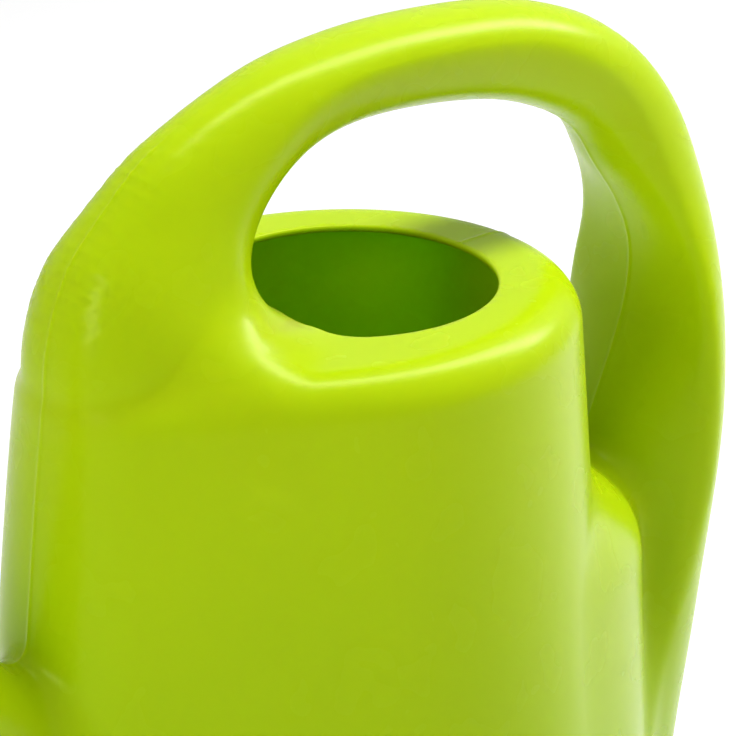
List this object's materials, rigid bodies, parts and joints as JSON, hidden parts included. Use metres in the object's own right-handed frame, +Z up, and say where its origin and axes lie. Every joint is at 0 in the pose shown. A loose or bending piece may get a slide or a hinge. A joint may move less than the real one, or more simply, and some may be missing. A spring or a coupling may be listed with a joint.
{
  "type": "watering can",
  "caption": "Blow-moulded garden watering can with a teardrop tank, an open filler mouth under a sweeping loop handle, a tapered spout and a turning rose.",
  "frame": {"origin": "on the floor plane of the flat base, straight below the centre of the filler mouth", "axes": "+Z up, -X towards the spout and +X towards the back of the handle, Y across the can, with the mould's parting plane at Y = 0"},
  "size_m": [0.5718, 0.2008, 0.4005],
  "materials": {
    "tank_plastic": "satin, slightly waxy blow-moulded polyethylene, lime green",
    "spout_plastic": "satin injection-moulded plastic, lime green",
    "seal_rubber": "matt black rubber"
  },
  "bodies": {
    "can": {"tank": "tank_plastic", "loop_handle": "tank_plastic", "spout_tube": "spout_plastic", "spout_seal": "seal_rubber"},
    "seal": {"rose_seal": "seal_rubber"},
    "rose": {"rose_cup": "spout_plastic", "rose_face": "spout_plastic"}
  },
  "joints": [
    {"name": "rose_pull_off", "type": "slide", "parent": "can", "child": "seal", "axis": [-0.7193, 0, 0.6947], "range_m": [0, 0.06]},
    {"name": "rose_turn", "type": "hinge", "parent": "seal", "child": "rose", "pos_m": [-0.34572, 0, 0.33748], "axis": [-0.7193, 0, 0.6947], "continuous": true}
  ]
}
